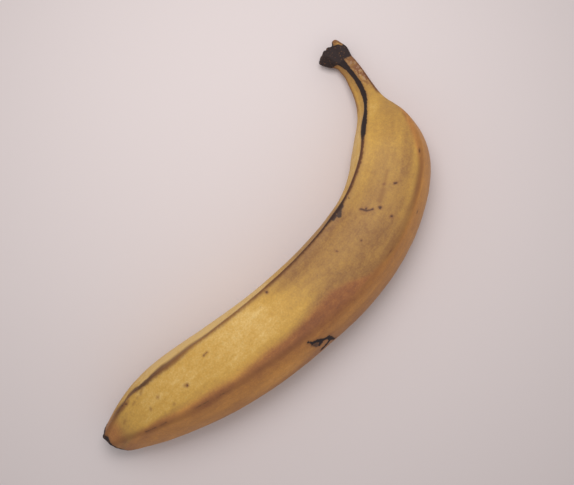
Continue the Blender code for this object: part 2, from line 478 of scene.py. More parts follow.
# %% Lumps of the crown, and the scar with its pit and rim
COARSE_LUMPS, FINE_LUMPS = 0.50, 0.22
PIT_EDGE, PIT_DEPTH = (-3.4, -1.6), 0.9
RIM_AT, RIM_WIDTH, RIM_HEIGHT, RIM_LUMPS = -0.2, 1.0, 0.25, 0.3
SCAR_EDGE, SCAR_LUMPS = (-1.6, 0.5), 0.35
relief += on_crown * (COARSE_LUMPS * lumps(size=3.2, seed=11) + FINE_LUMPS * lumps(size=1.4, seed=13))
relief -= (1 - step(ALONG_MM, *PIT_EDGE)) * PIT_DEPTH
relief += crest(ALONG_MM - RIM_AT, RIM_WIDTH) * (RIM_HEIGHT + RIM_LUMPS * lumps(size=1.8, seed=17))
relief += (1 - step(ALONG_MM, *SCAR_EDGE)) * SCAR_LUMPS * lumps(size=1.3, seed=19)
print("points on the crown:", int((on_crown > 0).sum()))

# %% Dents and bulges, and the push along the normals
SWELLINGS = (  # along, round, half along, half round, mm out, with minus for in
    (110, 20, 30, 8, -0.25),
    (84, 24, 26, 5, -0.3),
    (150, 12, 14, 7, -0.12),
    (40, -30, 18, 10, -0.2),
    (217.5, 10.5, 3.0, 4.0, 0.8),
    (219.4, -5.6, 1.6, 3.0, 0.3),
)
SCAB_OVAL, SCAB_HEIGHT = (94.5, 36, 3.2, 6), 0.35
for along, across, half_along, half_across, height in SWELLINGS:
    relief += height * oval(along, across, half_along, half_across)
relief += SCAB_HEIGHT * oval(*SCAB_OVAL) * (0.5 + 0.5 * lumps(size=1.2, seed=23))
place += relief[:, None] * outward
print("relief from", relief.min().round(2), "to", relief.max().round(2), "mm")

# %% [markdown]
# ## The torn crown
#
# Tissue that tears is drawn out the way it was pulled, and not at right angles to its surface.
# So a few spots of the crown are now moved straight along the stem: the strip goes further
# out, and the notch beside it goes in. Two spots below the rim are moved sideways, which
# hollows the stem there. Moves that lie close together leave small folds. A finer cage could
# avoid them, but it is simpler to draw the crown's points towards the mean of their
# neighbours a few times. That opens the folds, and leaves the lumps a little softer.

# %% Pull the crown
CROWN_PULLS = (  # along, round, half along, half round, mm along the stem, mm to the bulging side
    (221.6, 9.3, 2.6, 1.2, 1.3, 0.0),
    (223.4, 7.3, 1.6, 1.0, -1.2, 0.0),
    (225.4, 4.2, 2.0, 2.4, 0.8, 0.0),
    (225.2, -2.0, 3.0, 3.0, 0.5, 0.0),
    (225.6, 9.4, 1.3, 1.8, -1.0, 0.0),
    (222.4, -6.4, 1.6, 2.4, -0.2, 0.0),
    (213.5, -6.5, 6.0, 4.5, 0.0, 0.55),
    (216.4, -5.6, 1.8, 3.8, 0.0, 0.6),
)
crown_side = np.cross(ALONG[-1], (0, 0, 1))
for along, across, half_along, half_across, out, sideways in CROWN_PULLS:
    way = out * ALONG[-1] + sideways * crown_side
    place += oval(along, across, half_along, half_across)[:, None] * way
print("pulls:", len(CROWN_PULLS))


# %% Open the folds
def relaxed(points, share, rounds):
    """Draws each point towards the mean of its neighbours by its own share, so that folds open."""
    ends = read(fine.edges, "vertices", 2).astype(int)
    neighbours = np.bincount(ends.ravel(), minlength=len(points))[:, None]
    for _ in range(rounds):
        total = np.zeros_like(points)
        np.add.at(total, ends[:, 0], points[ends[:, 1]])
        np.add.at(total, ends[:, 1], points[ends[:, 0]])
        points = points + share[:, None] * (total / neighbours - points)
    return points


RELAX_SHARE, RELAX_ROUNDS, RELAX_STARTS = 0.5, 9, (207, 213)
place = relaxed(place, RELAX_SHARE * step(ALONG_MM, *RELAX_STARTS), RELAX_ROUNDS)
place[:, 2] = np.maximum(place[:, 2], 0.0)  # nothing reaches below the table
print("lowest and highest point:", place[:, 2].min().round(2), place[:, 2].max().round(2), "mm")

# %% [markdown]
# ## Browning, and a painted highlight
#
# Where the peel was pressed, or has aged, its cells let go of an enzyme that turns it from
# gold through tan to a dark brown, always along the same row of colours. So one number says
# how far that has gone at each point, and one ramp will turn it into colour. The same number
# also carries a painted highlight: one small oval makes the middle of the gold top face a
# little paler. It could be a mask painted by hand. Here it is a few levels along the fruit,
# the edge of the large bruise, and soft ovals, all in the millimetres of the peel's map.

# %% Levels along each face
# Pairs of the distance along in mm and the browning there, or the bruise's edge and how soft
# it is, both in mm round.
TOP_LEVELS = (
    (0, 0.55), (8, 0.52), (13, 0.36), (18, 0.28), (27, 0.18), (38, 0.16), (52, 0.15), (64, 0.14),
    (78, 0.12), (90, 0.20), (98, 0.36), (106, 0.54), (116, 0.64), (138, 0.64), (148, 0.50),
    (160, 0.44), (175, 0.38), (186, 0.36), (196, 0.38), (204, 0.48), (214, 0.56),
)
OUTER_LEVELS = (
    (0, 0.50), (20, 0.40), (40, 0.42), (60, 0.50), (75, 0.60), (90, 0.68), (108, 0.66), (120, 0.60),
    (140, 0.46), (155, 0.34), (175, 0.32), (200, 0.45),
)
INNER_LEVELS = (
    (0, 0.60), (12, 0.30), (25, 0.08), (40, 0.0), (60, -0.05), (90, 0.04), (103, 0.32), (112, 0.48),
    (138, 0.46), (148, 0.20), (180, 0.08), (196, 0.20), (206, 0.40), (216, 0.55),
)
BRUISE_EDGE = (
    (0, 10.0), (12, 10.5), (20, 12.5), (27, 13.9), (36, 15.8), (44, 16.5), (52, 17.1), (61, 18.0),
    (70, 18.0), (76, 17.9), (84, 19.0), (92, 19.0), (100, 17.6), (109, 17.0), (117, 20.0),
    (124, 24.5), (134, 26.4), (150, 25.6), (165, 23.6), (180, 17.0), (200, 8.0),
)
BRUISE_SOFTNESS = (
    (0, 1.7), (30, 1.7), (40, 2.4), (50, 2.9), (60, 4.0), (68, 3.8), (76, 3.0), (92, 2.8),
    (100, 3.2), (112, 2.6), (122, 1.8), (200, 1.7),
)
edges = [across for _, across in BRUISE_EDGE]
print("the bruise's edge lies", min(edges), "to", max(edges), "mm round")

# %% Patches that are browner or paler than the levels
OVALS = (  # along, round, half along, half round, change in browning
    # The first oval, a little paler in the middle of the gold top face, is a painted highlight.
    (76, 5, 13, 5, -0.06),
    (104, 2.5, 24, 3.6, 0.16),
    (134, 2.0, 7, 3.0, 0.10),
    (160, 8.5, 18, 2.6, 0.12),
    (186, 12, 12, 5.0, 0.10),
    (132, 20, 22, 5.0, 0.08),
    (110, 18, 10, 4.0, 0.10),
    (101, 4, 8, 4.0, 0.08),
    (101, 13.5, 8, 3.0, -0.08),
    (64, 18.5, 10, 2.5, -0.08),
    (48, 23, 10, 3.0, 0.08),
    (168, 3.0, 14, 3.0, -0.06),
    (150, 19, 18, 3.4, 0.10),
    (170, 18, 12, 2.5, 0.20),
    (148, 25.0, 26, 1.6, 0.16),
    (82, 22.5, 22, 3.0, 0.14),
    (104, 23.0, 14, 3.6, 0.08),
    (92, 30.0, 10, 4.0, -0.12),
    (48, 21, 12, 2.6, 0.22),
    (24, 16, 16, 2.0, 0.16),
    (9, 8, 3.5, 3.0, 0.10),
    (5, 3, 4.0, 4.0, 0.06),
    (5, 12, 7.0, 4.0, 0.16),
    (114, 24, 16, 3.0, 0.08),
    (156, 13, 16, 3.5, 0.08),
    (190, -3, 9, 1.6, 0.16),
    (76, 35, 16, 5.0, -0.34),
    (60, 29, 18, 2.6, -0.10),
    (110, 32, 12, 3.0, -0.24),
    (126, 36, 20, 5.0, -0.12),
    (80, 30, 16, 4.0, -0.05),
    (56, 14, 20, 3.5, 0.05),
    (104, 38, 10, 4.0, -0.10),
    (38, 40, 14, 3.0, 0.26),
    (189, 3, 6, 3, -0.14),
    (125, -4, 16, 3, 0.10),
    (209, 4.5, 9, 2.8, 0.05),
    (213, -3.4, 4.5, 1.1, 0.10),
    (205, -6.0, 11, 1.6, 0.45),
    (214, 4.5, 3.5, 4.0, 0.12),
    (221.0, 8.2, 3, 3.0, -0.30),
)
UNDER_BULGE, UNDER_HOLLOW = (40, 56), (20, 54)  # mm round, from the side to the underside
PALER, BROWNER = 0.25, 0.30


def level(levels, at=ALONG_MM):
    """Pairs of a distance and a value, read at every point, with straight lines between them."""
    return np.interp(at, *np.array(levels, float).T)


browning = np.where(ROUND_MM < 0, level(INNER_LEVELS), level(TOP_LEVELS))
past_edge = step((ROUND_MM - level(BRUISE_EDGE)) / level(BRUISE_SOFTNESS), -1, 1)
browning += past_edge * (level(OUTER_LEVELS) - browning)
browning -= PALER * step(ROUND_MM, *UNDER_BULGE)
browning += BROWNER * step(-ROUND_MM, *UNDER_HOLLOW)
for along, across, half_along, half_across, change in OVALS:
    browning += change * oval(along, across, half_along, half_across)
print("browning from", browning.min().round(2), "to", browning.max().round(2))

# %% [markdown]
# ## The seams on the ridges
#
# Handling crushes a ridge first, so the peel blackens in a thin line there. Its width changes
# all the time: a solid bead on the stem, a thread over the belly, a smear near the blossom
# end. A line of its own mesh would look stuck on. So how far its middle lies beside the
# ridge, its half width, how black, how strong and how soft it is go into the fine mesh as
# numbers that the material reads. The hollow side of the ridge falls away steeply, so a fade
# of the same look needs more millimetres there.

# %% Shift, width, blackness, strength and softness of the seams
# Pairs of the distance along in mm and the value there. Shifts and half widths are in mm.
FIRST_SHIFTS = (
    (0, 0.0), (4, -0.4), (8, -1.1), (11, -1.4), (15, -0.9), (17.5, -0.5), (20, -2.0), (24, -1.9),
    (26, -1.0), (31, -0.6), (34, -1.3), (37, -1.5), (41, -1.0), (46, -1.1), (51, -1.4), (56, -0.9),
    (61, -0.5), (68, -0.2), (80, 0.0), (95, 0.0), (112, -0.4), (128, -0.8), (134, -1.1),
    (142, -0.9), (148, -0.5), (158, -0.4), (168, -0.2), (177, -0.3), (182, -0.7), (187, -0.6),
    (190, -0.3), (193, 0.0), (197, 0.4), (201, 0.8), (206, 0.8), (216, 0.7),
)
FIRST_WIDTHS = (
    (0, 1.2), (8, 1.9), (11, 2.2), (15, 1.5), (17.5, 1.2), (20, 1.5), (24, 1.6), (26, 1.3),
    (31, 1.3), (34, 1.8), (37, 2.1), (41, 1.9), (46, 1.8), (51, 1.6), (56, 1.1), (61, 0.9),
    (68, 0.75), (80, 0.65), (95, 0.65), (108, 0.8), (118, 0.9), (128, 1.2), (134, 1.8), (142, 1.6),
    (148, 1.15), (158, 1.0), (168, 0.85), (174, 0.75), (178, 0.9), (180.5, 1.7), (184, 2.0),
    (187, 1.7), (190, 0.9), (193, 0.8), (196, 1.0), (200, 1.2), (208, 1.1), (212, 1.25), (216, 2.0),
)
FIRST_BLACKNESS = (
    (0, 0.35), (6, 0.1), (12, 0.15), (15, 0.5), (18, 0.6), (20, 0.2), (23, 0.5), (26, 0.7),
    (31, 0.6), (36, 0.25), (42, 0.1), (52, 0.0), (80, 0.05), (95, 0.35), (108, 0.5), (120, 0.6),
    (132, 0.85), (142, 0.85), (148, 0.55), (158, 0.45), (168, 0.42), (176, 0.5), (179.5, 1.0),
    (216, 1.0),
)
FIRST_STRENGTH = (
    (0, 0.4), (8, 0.45), (13, 0.8), (17, 0.9), (20, 0.85), (26, 0.9), (33, 0.9), (42, 0.8),
    (52, 0.75), (64, 0.75), (80, 0.75), (95, 0.9), (120, 1.0), (216, 1.0),
)
FIRST_SOFTNESS = (
    (0, 0.5), (12, 0.6), (20, 0.4), (26, 0.2), (34, 0.4), (44, 0.7), (60, 0.5), (110, 0.4),
    (130, 0.15), (142, 0.15), (150, 0.25), (170, 0.2), (180, 0.05), (216, 0.0),
)
SECOND_STRENGTH = (
    (0, 0.35), (14, 0.4), (30, 0.45), (50, 0.35), (60, 0.4), (70, 0.5), (88, 0.5), (98, 0.3),
    (110, 0.25), (130, 0.25), (150, 0.3), (160, 0.55), (174, 0.35), (184, 0.0), (195, 0.0),
    (198, 0.9), (207, 0.9), (210, 0.5), (216, 0.6),
)
OTHER_STRENGTH = ((0, 0.45), (20, 0.45), (60, 0.25), (150, 0.3), (190, 0.3), (204, 0.55), (216, 0.8))
HOLLOW_SOFTER = 2.6  # times as soft on the hollow side
SECOND_WIDTH, SECOND_NARROWER, SECOND_STEM_BLACKNESS = 0.9, 0.2, 0.3
OTHER_WIDTH, OTHER_BLACKNESS, OTHER_SOFTNESS = 0.45, 0.2, 0.4


def by_ridge(first, second, others):
    """The first ridge's value near it, the second's near that, and one for the three below."""
    return np.select((number == 0, number == 1), (first, second), others)


hollow_softer = np.where(ROUND_MM < 0, HOLLOW_SOFTER, 1.0)
MARKS = {
    "seam_shift": by_ridge(level(FIRST_SHIFTS), 0.0, 0.0),
    "seam_width": by_ridge(level(FIRST_WIDTHS), SECOND_WIDTH - SECOND_NARROWER * on_stem, OTHER_WIDTH),
    "seam_blackness": by_ridge(
        level(FIRST_BLACKNESS), SECOND_STEM_BLACKNESS * on_stem, OTHER_BLACKNESS
    ),
    "seam_strength": by_ridge(level(FIRST_STRENGTH), level(SECOND_STRENGTH), level(OTHER_STRENGTH)),
    "seam_softness": by_ridge(
        level(FIRST_SOFTNESS) * hollow_softer, 1.0 - on_stem, OTHER_SOFTNESS
    ),
}
print("widest half of the first seam:", MARKS["seam_width"].max().round(2), "mm")

# %% [markdown]
# ## Where the peel is dry or scurfy, and the painted shade of the flank
#
# The torn crown and the blossom scar have dried to a black cork, with a ragged edge where the
# peel begins. The drawn-out strip still carries its peel. Scurf is a rough, corky film on the
# stem. On the lower flank inside the bruise, and at the tip, a redder tint is laid. On the flank
# it is painted shade, standing for warm light bounced up from the table onto the shaded side.
# All of them could be cut out as pieces of their own, but they are one skin, so each is one
# more number on the mesh: the gap to the edge in millimetres, or a share.

# %% Gaps to the dry ends, the scurf share, and the share of the redder tint of painted shade
CROWN_EDGE = (  # round, along
    (-30, 217), (-14, 217.4), (-8, 217.6), (-4, 217.4), (-1, 216.8), (0.6, 216.4), (3, 216.2),
    (7, 215.6), (12, 216), (30, 217),
)
SPIKE_FROM, SPIKE_TO, SPIKE_ABOVE = (7.2, 8.0), (11, 13), (219.6, 220.6)  # round, round, along
SPIKE_CLEAR = 8.0  # mm, far enough from the dry edge to keep the strip's peel
TIP_EDGE, TIP_UNEVEN = 0.8, 0.7  # mm along
TIP_TONGUE, TONGUE_LENGTH = (0, 0.5, 3.5, 6.5), 0.9
SCURF_OVALS = (  # along, round, half along, half round, share
    (209, 4.6, 8, 2.6, 1.0),
    (204, -6.4, 13, 1.6, 0.6),
    (221.5, 7.4, 3, 2.5, 0.5),
)
# The redder tint lies in an oval at the tip and on the lower flank inside the bruise, where it is
# painted shade. It fades out towards the underside between these mm round.
TIP_TINT_OVAL, FLANK_SHADE_ENDS = (4, 2, 7, 9), (46, 56)

spike = step(ROUND_MM, *SPIKE_FROM) * (1 - step(ROUND_MM, *SPIKE_TO)) * step(ALONG_MM, *SPIKE_ABOVE)
MARKS["crown_gap"] = level(CROWN_EDGE, at=ROUND_MM) - ALONG_MM + SPIKE_CLEAR * spike
tip_edge = TIP_EDGE + TIP_UNEVEN * lumps(size=2.4, seed=29) + TONGUE_LENGTH * oval(*TIP_TONGUE)
MARKS["tip_gap"] = ALONG_MM - tip_edge
MARKS["scurf"] = sum(share * oval(*patch) for *patch, share in SCURF_OVALS)
inside_bruise = past_edge**3  # the cube keeps it clear of the bruise's soft edge
# Painted shade: the redder tint's share, full on the lower flank past the bruise's edge and in the
# tip's oval, fading towards the underside.
MARKS["russet"] = np.maximum(inside_bruise, oval(*TIP_TINT_OVAL)) * (1 - step(ROUND_MM, *FLANK_SHADE_ENDS))
MARKS["browning"] = browning


def keep(name, values):
    """Stores one number for every point of the fine mesh."""
    layer = fine.attributes.new(name, "FLOAT", "POINT")
    layer.data.foreach_set("value", values.astype(np.float32))


for name, values in MARKS.items():
    keep(name, values)
print("marks on the mesh:", ", ".join(MARKS))

# %% [markdown]
# ## The banana's object
#
# The mesh stands for the imported solid from here on. It rides on the fruit's only body, so it
# goes wherever that body is posed. Its material, the peel, is given to it further on.

# %% Make the object
fine.vertices.foreach_set("co", (place * MM).astype(np.float32).ravel())
fine.shade_smooth()
fine.update()
banana = bpy.data.objects.new("banana_peel", fine)
bpy.context.scene.collection.objects.link(banana)
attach(banana, "root")
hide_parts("banana")
print("banana:", len(fine.vertices), "points")


# %% [markdown]
# ## The peel's material
#
# A banana's skin is a soft cuticle with a thin natural wax on it. The wax gives a broad, weak
# sheen rather than a gloss, so the roughness is about a half, and the IOR is that of plant
# wax, 1.44. Its colour could be a picture, but then it would be soft close up. As nodes it
# stays sharp. The layers are laid in the order in which they lie on the fruit: the browned
# peel, bloom and scurf, the brown rims of the dry ends, the seams, the stains, spots and
# smudges, the scab, and last the dry crown and scar.

# %% Helpers for colours and nodes
def linear(hex_colour):
    """An sRGB hex colour as linear numbers with full alpha."""
    channels = []
    for start in (1, 3, 5):
        value = int(hex_colour[start : start + 2], 16) / 255
        channels.append(value / 12.92 if value <= 0.04045 else ((value + 0.055) / 1.055) ** 2.4)
    return (*channels, 1.0)


def add(tree, kind, inputs, output=0, **settings):
    """Adds a node, sets it up, and links or fills its inputs. Returns one of its outputs, if any."""
    node = tree.nodes.new("ShaderNode" + kind)
    for name, value in settings.items():
        setattr(node, name, value)
    for key, value in inputs.items():
        if isinstance(value, bpy.types.NodeSocket):
            tree.links.new(value, node.inputs[key])
        else:
            node.inputs[key].default_value = value
    return node.outputs[output] if node.outputs else None


def lay(colour, gap, hex_colour, inside, outside, strength):
    """Lays a colour over the peel where a gap is small. Returns the colour and its mask."""
    # Inputs 0 to 4 of Map Range are the value, from and to, and what they become. Those of
    # Mix that are used here are 0, 6 and 7: the share and the two colours.
    fade = {0: gap, 1: inside, 2: outside, 3: strength, 4: 0.0}
    mask = add(tree, "MapRange", fade, interpolation_type="SMOOTHSTEP")
    over = {0: mask, 6: colour, 7: linear(hex_colour)}
    return add(tree, "Mix", over, 2, data_type="RGBA"), mask


peel = bpy.data.materials.new("waxy_banana_peel")
peel.use_nodes = True
tree = peel.node_tree
tree.nodes.clear()
print("material:", peel.name)

# %% Where a point is, in millimetres
TO_MM = 1 / MM
OBJECT_OUTPUT, FACTOR_OUTPUT = 3, 2  # of Texture Coordinate, and of Attribute
sources = (
    add(tree, "TexCoord", {}, OBJECT_OUTPUT),
    add(tree, "UVMap", {}, uv_map="peel"),
    add(tree, "UVMap", {}, uv_map="ridge"),
)
places = []
for source in sources:
    places.append(add(tree, "VectorMath", {0: source, "Scale": TO_MM}, operation="SCALE"))
solid_place, map_place, ridge_place = places
from_ridge = add(tree, "SeparateXYZ", {0: ridge_place})
stored = {}
for name in MARKS:
    stored[name] = add(tree, "Attribute", {}, FACTOR_OUTPUT, attribute_name=name)
print("numbers read from the mesh:", len(stored))

# %% [markdown]
# ## Patterns in millimetres
#
# Peel is uneven at every scale: it ripens in blotches as wide as a fingertip, it is mottled
# between them, and fibres run along it. Pictures of these would have to be fitted round the
# fruit, so each is a noise, and its scale is one over a real size. The grain stands for the
# cells of the skin. They are under a tenth of a millimetre, too fine to show, so the grain is
# drawn as coarse as it needs to be.

# %% Noises, each with the size of what it stands for
LONG_FIBRE = (1.0, 0.12, 1.0)  # fibres are eight times as long as they are wide
fibre_place = add(tree, "VectorMath", {0: map_place, 1: LONG_FIBRE}, operation="MULTIPLY")
NOISES = (  # name, where it is read, size in mm, detail, roughness
    ("blotch", solid_place, 9.0, 3.0, 0.5),
    ("mottle", solid_place, 2.6, 3.0, 0.6),
    ("grain", solid_place, 0.7, 2.0, 0.5),
    ("fibre", fibre_place, 1.8, 3.0, 0.5),
    ("ragged", solid_place, 1.3, 3.0, 0.65),
    ("crumbs", solid_place, 0.8, 2.0, 0.6),
    ("bloom", solid_place, 0.9, 2.0, 0.7),
)
pattern = {}
for name, where, size, detail, roughness in NOISES:
    settings = {"Vector": where, "Scale": 1 / size, "Detail": detail, "Roughness": roughness}
    pattern[name] = add(tree, "TexNoise", settings)
RAGGED_BY, CRUMBLE_BY = 1.2, 1.4  # mm between a noise's ends
wander = add(tree, "MapRange", {0: pattern["ragged"], 3: -RAGGED_BY / 2, 4: RAGGED_BY / 2})
crumble = add(tree, "MapRange", {0: pattern["crumbs"], 3: -CRUMBLE_BY / 2, 4: CRUMBLE_BY / 2})
print("noises:", ", ".join(pattern))

# %% [markdown]
# ## Gold that turns brown, with a painted highlight and painted shade
#
# Ripe peel is a warm gold, and it browns unevenly, cell by cell and along its fibres. Four
# noises are added to the browning, which also holds a small painted highlight on the top face,
# before the ramp turns it into colour, so that light and dark grain comes from the same row of
# colours as the bruise does. Mixing a brown picture over a gold one would give muddy edges. A
# tint then multiplies the colour, so it isn't a hex value: a redder brown that is painted shade
# on the lower flank, standing for warm light bounced up from the table, and reaches the tip too.

# %% Browning with its grain, and the tint of painted shade
GRAIN_SHARES = {"blotch": 0.24, "mottle": 0.34, "grain": 0.32, "fibre": 0.24}
NOISE_MIDDLE = 0.5
browned_and_highlight = stored["browning"]
for name, share in GRAIN_SHARES.items():
    around_zero = add(tree, "Math", {0: pattern[name], 1: NOISE_MIDDLE}, operation="SUBTRACT")
    browned_and_highlight = add(tree, "Math", {0: around_zero, 1: share, 2: browned_and_highlight}, operation="MULTIPLY_ADD")

PEEL_COLOURS = (
    (0.00, "#DAB46F"),
    (0.11, "#CFA55B"),
    (0.22, "#C6994B"),
    (0.45, "#B18646"),
    (0.65, "#9F7542"),
    (0.82, "#8C633C"),
    (1.00, "#7A5639"),
)
ramp = add(tree, "ValToRGB", {0: browned_and_highlight})
stops = ramp.node.color_ramp.elements
while len(stops) < len(PEEL_COLOURS):
    stops.new(0.5)
for stop, (position, colour) in zip(stops, PEEL_COLOURS):
    stop.position = position
    stop.color = linear(colour)
# A redder brown, multiplied in by the share stored on the mesh: painted shade on the lower flank, and
# the same tint at the tip.
FLANK_SHADE_AND_TIP_TINT = (1.05, 0.84, 0.92, 1.0)
tinted = {0: stored["russet"], 6: ramp, 7: FLANK_SHADE_AND_TIP_TINT}
colour = add(tree, "Mix", tinted, 2, data_type="RGBA", blend_type="MULTIPLY")
print("colours in the ramp:", len(stops))

# %% [markdown]
# ## Bloom and scurf
#
# Bloom is the dust of the wax: it cools and dulls the colour in fine specks. Scurf is corky,
# dark in patches and pale where it flakes. Both could be thin shells over the skin, but they
# have no thickness that shows. So noises draw them, two for scurf, each with its own colour,
# and the share that was stored on the mesh keeps scurf on the stem.

# %% Bloom and scurf
BLOOM_TINT, BLOOM_FROM, BLOOM_TO = (0.93, 0.96, 1.02, 1.0), 0.48, 0.68
bloom_share = add(tree, "MapRange", {0: pattern["bloom"], 1: BLOOM_FROM, 2: BLOOM_TO})
bloomed = {0: bloom_share, 6: colour, 7: BLOOM_TINT}
colour = add(tree, "Mix", bloomed, 2, data_type="RGBA", blend_type="MULTIPLY")
SCURF = (  # noise, its value where scurf starts, where it is full, strength, colour
    ("mottle", 0.53, 0.47, 1.0, "#80553A"),
    ("ragged", 0.50, 0.64, 0.60, "#AC8E79"),
)
for name, starts, full, strength, scurf_colour in SCURF:
    speckle = {0: pattern[name], 1: starts, 2: full, 4: strength}
    scurf_share = add(tree, "MapRange", speckle, interpolation_type="SMOOTHSTEP")
    scurf_share = add(tree, "Math", {0: scurf_share, 1: stored["scurf"]}, operation="MULTIPLY")
    over = {0: scurf_share, 6: colour, 7: linear(scurf_colour)}
    colour = add(tree, "Mix", over, 2, data_type="RGBA")
print("layers of scurf:", len(SCURF))

# %% [markdown]
# ## Brown rims and black seams
#
# Next to dead tissue the peel is always brown before it is black. A hard edge between gold and
# black would look painted, so the dry ends get a brown rim, and each seam a brown halo. The
# gap to an edge has a noise added to it first, which makes every edge ragged.

# %% Brown rims of the crown and the scar
DRY_RIM_COLOUR = "#7B5436"
END_RAGGEDNESS = {"crown_gap": 2.0, "tip_gap": 1.8}  # times the ragged noise
end_gaps = []
for name, times in END_RAGGEDNESS.items():
    ragged_gap = {0: wander, 1: times, 2: stored[name]}
    end_gaps.append(add(tree, "Math", ragged_gap, operation="MULTIPLY_ADD"))
ends_gap = add(tree, "Math", {0: end_gaps[0], 1: end_gaps[1]}, operation="MINIMUM")
colour, _ = lay(colour, ends_gap, DRY_RIM_COLOUR, inside=0.0, outside=1.6, strength=0.7)
print("dry ends:", len(end_gaps))

# %% Seams
SEAM_BROWN, SEAM_BLACK, HALO_COLOUR = "#774B32", "#2E2423", "#875C3B"
CRISP_FROM, CRISP_TO = -0.2, 0.25  # mm from the seam's edge, where a crisp seam fades
SOFTER_FROM, SOFTER_TO = -0.8, 1.6  # what a softness of 1 adds to them
HALO_FROM, HALO_TO, HALO_STRENGTH = -0.2, 1.6, 0.45
off_middle = add(tree, "Math", {0: from_ridge, 1: stored["seam_shift"]}, operation="SUBTRACT")
off_middle = add(tree, "Math", {0: off_middle}, operation="ABSOLUTE")
seam_gap = add(tree, "Math", {0: off_middle, 1: wander}, operation="ADD")
seam_gap = add(tree, "Math", {0: seam_gap, 1: stored["seam_width"]}, operation="SUBTRACT")
soft = stored["seam_softness"]
fade_from = add(tree, "Math", {0: soft, 1: SOFTER_FROM, 2: CRISP_FROM}, operation="MULTIPLY_ADD")
fade_to = add(tree, "Math", {0: soft, 1: SOFTER_TO, 2: CRISP_TO}, operation="MULTIPLY_ADD")
core_fade = {0: seam_gap, 1: fade_from, 2: fade_to, 3: 1.0, 4: 0.0}
seam_core = add(tree, "MapRange", core_fade, interpolation_type="SMOOTHSTEP")
halo_fade = {0: seam_gap, 1: HALO_FROM, 2: HALO_TO, 3: HALO_STRENGTH, 4: 0.0}
seam_halo = add(tree, "MapRange", halo_fade, interpolation_type="SMOOTHSTEP")
halo_share = add(tree, "Math", {0: seam_halo, 1: stored["seam_strength"]}, operation="MULTIPLY")
halo = {0: halo_share, 6: colour, 7: linear(HALO_COLOUR)}
colour = add(tree, "Mix", halo, 2, data_type="RGBA")
brown_to_black = {0: stored["seam_blackness"], 6: linear(SEAM_BROWN), 7: linear(SEAM_BLACK)}
seam_colour = add(tree, "Mix", brown_to_black, 2, data_type="RGBA")
seam_share = add(tree, "Math", {0: seam_core, 1: stored["seam_strength"]}, operation="MULTIPLY")
colour = add(tree, "Mix", {0: seam_share, 6: colour, 7: seam_colour}, 2, data_type="RGBA")
print("nodes so far:", len(tree.nodes))

# %% [markdown]
# ## Spots, a crack and a scab
#
# Spots are cells that died under a scratch or a knock, the crack is a split in the skin that
# dried, and the scab is the crumbled cork over a healed wound. Each mark is a short stroke on
# the peel's map: two ends and a radius, in millimetres. A dot of its own mesh would float over
# the skin. The distance to the nearest stroke is worked out by nodes, and a ragged noise is
# added to it before it becomes an edge, so that no spot is a clean circle.

# %% Strokes on the peel
# All in mm on the map. A stroke with both ends in one place is a dot.
Stroke = namedtuple("Stroke", "along across to_along to_across radius")
SCAB_STROKES = (  # the forked scab
    Stroke(90.1, 28.0, 91.3, 30.3, 0.4),
    Stroke(91.3, 30.3, 93.0, 31.0, 0.8),
    Stroke(93.0, 31.0, 94.2, 33.1, 0.9),
    Stroke(94.2, 33.1, 92.8, 35.0, 0.7),
    Stroke(94.2, 33.1, 97.0, 34.8, 0.8),
    Stroke(97.0, 34.8, 97.2, 37.8, 0.8),
    Stroke(97.2, 37.8, 98.1, 42.3, 0.6),
    Stroke(97.0, 38.4, 92.2, 41.4, 0.85),
)
SPOT_STROKES = (  # dead spots, the small curved crack and thin scratches
    Stroke(91.3, 31.8, 91.9, 34.0, 1.1),
    Stroke(147.8, 14.2, 147.8, 14.2, 0.7),
    Stroke(146.3, 19.5, 146.3, 19.5, 0.5),
    Stroke(143.9, 7.9, 144.1, 8.7, 0.45),
    Stroke(144.1, 8.7, 144.3, 10.2, 0.45),
    Stroke(144.3, 10.2, 145.9, 11.9, 0.35),
    Stroke(144.3, 9.5, 145.3, 9.5, 0.3),
    Stroke(159.5, 16.2, 159.2, 15.8, 0.45),
    Stroke(158.0, 11.9, 158.0, 11.9, 0.25),
    Stroke(132.4, 14.6, 132.4, 14.6, 0.3),
    Stroke(122.9, 9.7, 122.9, 9.7, 0.3),
    Stroke(90.3, 1.8, 90.3, 1.8, 0.55),
    Stroke(171.0, 23.0, 170.2, 23.0, 0.25),
    Stroke(151.3, 30.6, 151.3, 30.6, 0.35),
    Stroke(56.8, 5.4, 55.0, 5.6, 0.1),
    Stroke(44.0, 10.9, 44.0, 10.9, 0.3),
    Stroke(25.6, -0.4, 24.2, -1.2, 0.3),
    Stroke(19.4, 0.9, 18.9, 0.5, 0.3),
    Stroke(17.4, 0.1, 16.8, -0.5, 0.3),
    Stroke(29.6, 17.3, 26.2, 16.9, 0.1),
    Stroke(24.4, 16.2, 19.6, 14.5, 0.15),
    Stroke(56.5, 22.6, 52.5, 21.9, 0.0),
    Stroke(47.6, 20.8, 42.0, 20.0, 0.05),
    Stroke(136.0, 26.4, 133.0, 26.4, 0.0),
    Stroke(62.0, -23.0, 62.0, -23.0, 0.4),
    Stroke(101.0, -31.0, 100.4, -30.4, 0.5),
    Stroke(128.0, -18.0, 128.0, -18.0, 0.3),
    Stroke(158.0, -27.0, 156.8, -26.6, 0.5),
    Stroke(80.0, -46.0, 80.0, -46.0, 0.4),
    Stroke(38.0, -36.0, 37.4, -35.0, 0.4),
    Stroke(118.0, 52.0, 118.0, 52.0, 0.5),
    Stroke(152.0, 47.0, 151.4, 46.4, 0.4),
    Stroke(68.0, 49.0, 68.0, 49.0, 0.4),
)
